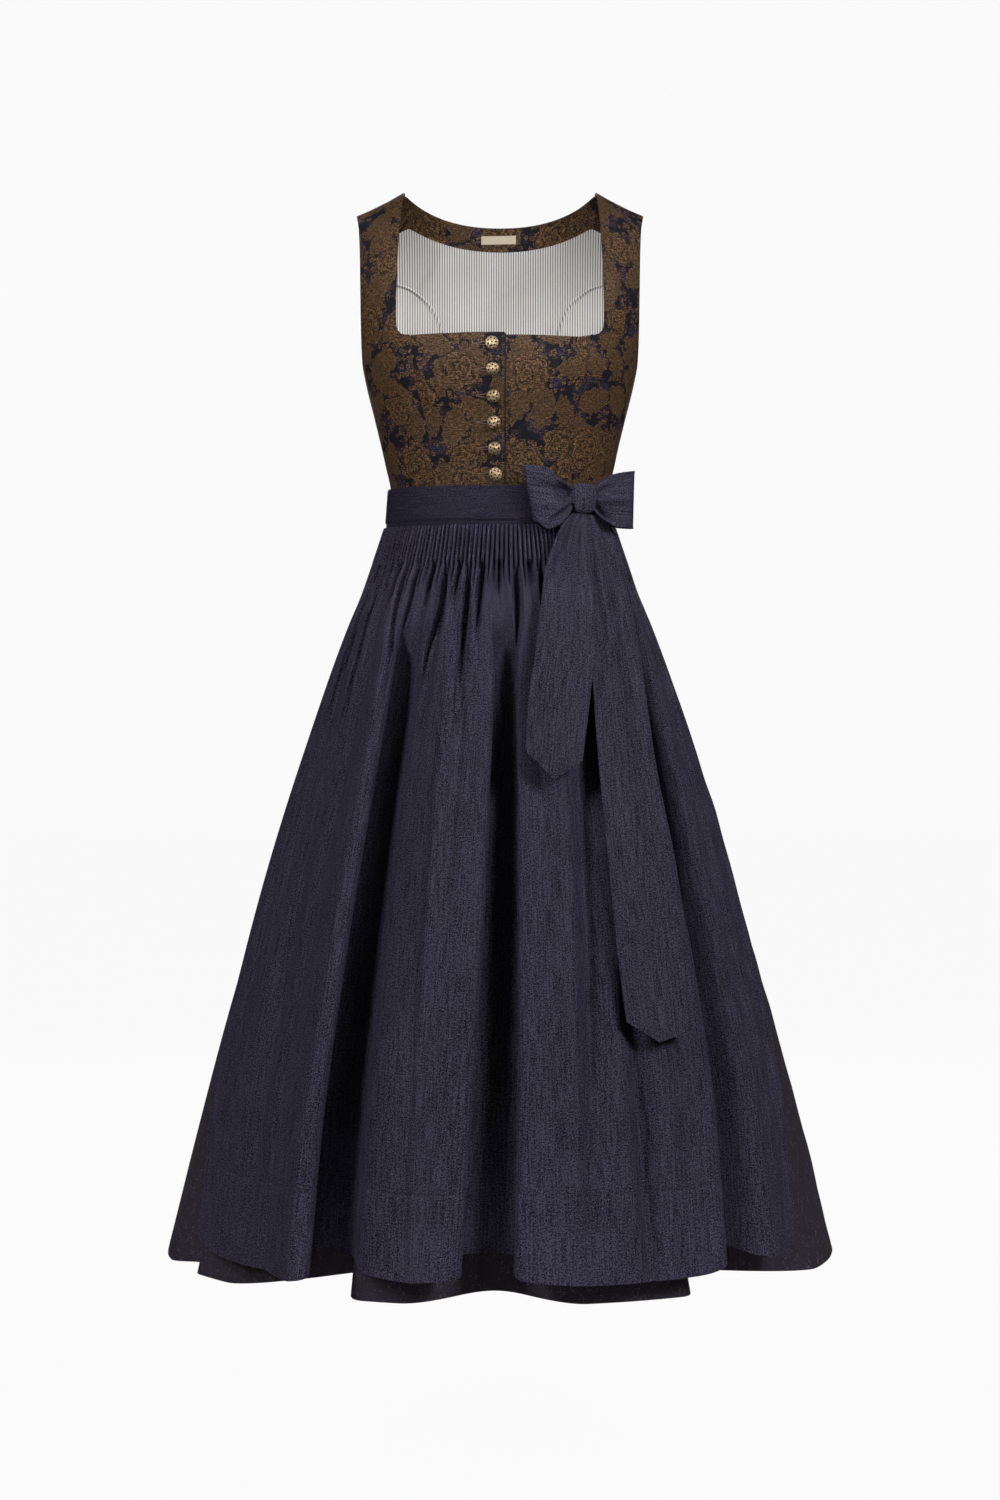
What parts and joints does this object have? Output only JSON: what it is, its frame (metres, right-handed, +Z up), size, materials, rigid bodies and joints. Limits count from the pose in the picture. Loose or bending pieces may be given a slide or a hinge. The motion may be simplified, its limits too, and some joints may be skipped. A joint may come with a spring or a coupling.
{
  "type": "dirndl",
  "caption": "Sleeveless dirndl: fitted floral brocade bodice with a square neck and ball buttons, full gathered skirt and smocked silk apron tied in a bow.",
  "frame": {"origin": "midway between the two neck points of the shoulder seams, where the shoulders carry the straps", "axes": "+Z up along the wearer's height, front of the dress towards -Y, +X towards the wearer's left"},
  "size_m": [0.7097, 0.6112, 1.1321],
  "materials": {
    "brocade": "bronze-brown floral jacquard weave with copper threads on a dark navy ground, soft sheen",
    "lining": "matt cotton with fine dark pinstripes",
    "label": "bare cream woven tape",
    "antique_brass": "antique brass, pierced and darkened in its recesses",
    "slub_silk": "slate-navy shot silk with vertical slubs, low sheen",
    "jacquard": "near-black plum jacquard, dull with faint lighter marks"
  },
  "bodies": {
    "root": {"bodice_front_right": "brocade", "bodice_front_left": "brocade", "bodice_side_front_left": "brocade", "bodice_side_front_right": "brocade", "bodice_side_back_left": "brocade", "bodice_side_back_right": "brocade", "bodice_centre_back": "brocade", "neck_facing": "brocade", "neck_label": "label", "lining_centre_back": "lining", "lining_side_back_left": "lining", "lining_side_back_right": "lining", "button_1": "antique_brass", "button_2": "antique_brass", "button_3": "antique_brass", "button_4": "antique_brass", "button_5": "antique_brass", "button_6": "antique_brass", "skirt_front": "jacquard", "skirt_back": "jacquard", "apron_panel": "slub_silk", "apron_waistband": "slub_silk", "apron_tie": "slub_silk", "bow_knot": "slub_silk", "bow_loop_centre": "slub_silk", "bow_loop_side": "slub_silk", "bow_tail_short": "slub_silk", "bow_tail_long": "slub_silk"}
  },
  "joints": []
}
